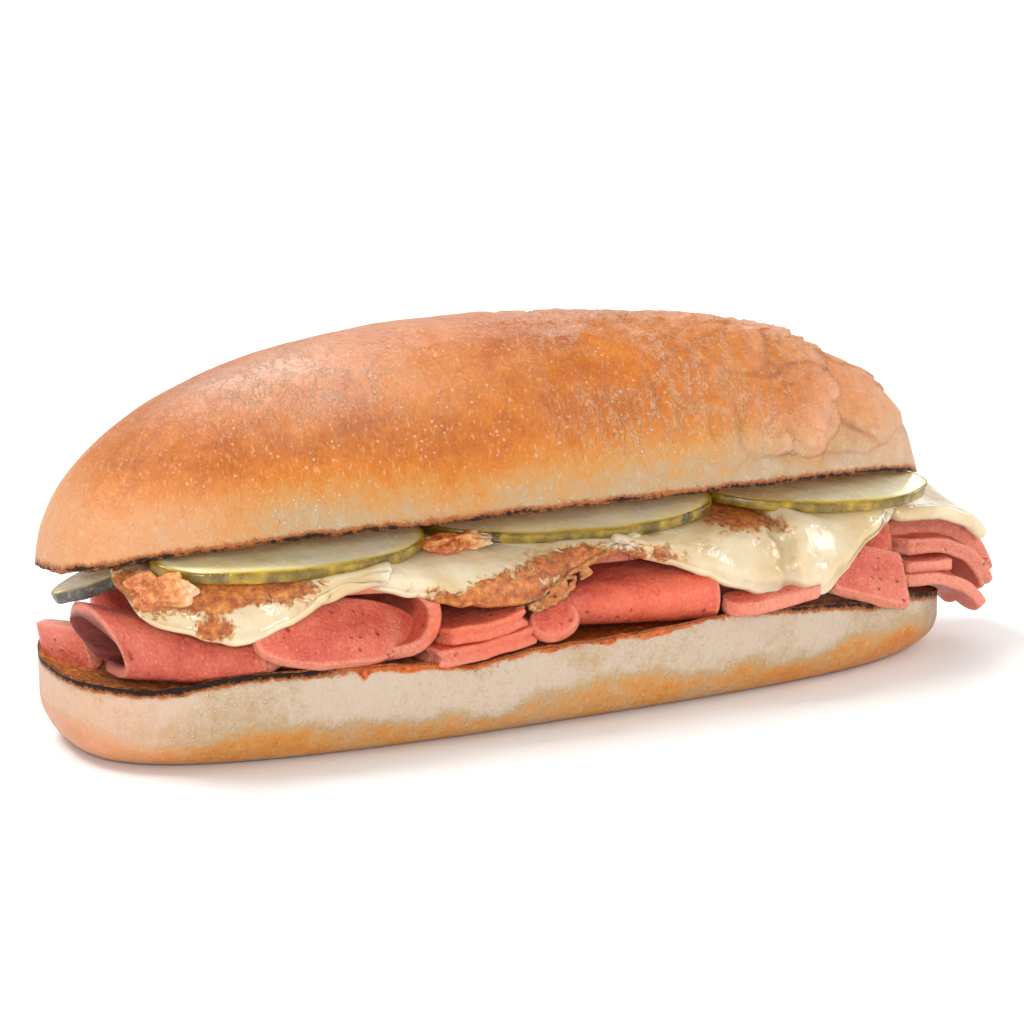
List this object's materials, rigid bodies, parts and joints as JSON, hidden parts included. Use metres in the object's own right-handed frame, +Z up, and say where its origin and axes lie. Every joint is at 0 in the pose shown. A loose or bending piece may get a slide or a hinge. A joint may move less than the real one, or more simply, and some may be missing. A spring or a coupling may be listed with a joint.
{
  "type": "submarine sandwich",
  "caption": "Long crusty roll cut lengthways, filled with folded salami, melted browned cheese and lengthwise gherkin slices.",
  "frame": {"origin": "centre of the roll's flat base", "axes": "+X along the roll, -Y towards its open front edge, +Z up"},
  "size_m": [0.253, 0.0843, 0.0935],
  "materials": {
    "crust": "soft golden bread crust with a faint gloss on top",
    "salami": "moist pink-red cooked salami",
    "cheese": "glossy melted cheese with fried brown patches",
    "pickle": "wet gherkin flesh with an olive skin",
    "crisp": "crumpled fried cheese, brown and oily"
  },
  "bodies": {
    "root": {"bun_bottom": "crust", "bun_top": "crust", "salami_far_left": "salami", "salami_roll_left": "salami", "salami_strip_left": "salami", "salami_fold_left": "salami", "salami_flap_left": "salami", "salami_upright_left": "salami", "salami_strip_lower": "salami", "salami_strip_upper": "salami", "salami_wedge": "salami", "salami_fold_middle": "salami", "salami_over_middle": "salami", "salami_fold_behind": "salami", "salami_tongue": "salami", "salami_wedge_right": "salami", "salami_upright_right": "salami", "salami_block_right": "salami", "salami_end_top": "salami", "salami_end_middle": "salami", "salami_end_lower": "salami", "salami_end_hanging": "salami", "salami_back_1": "salami", "salami_back_2": "salami", "salami_back_3": "salami", "salami_back_4": "salami", "salami_back_5": "salami", "salami_back_lower": "salami", "salami_back_upper": "salami", "cheese_left": "cheese", "cheese_centre": "cheese", "cheese_right": "cheese", "cheese_far_right": "cheese", "pickle_far_left": "pickle", "pickle_left": "pickle", "pickle_centre": "pickle", "pickle_right": "pickle", "crisp_left": "crisp", "crisp_centre": "crisp"}
  },
  "joints": []
}
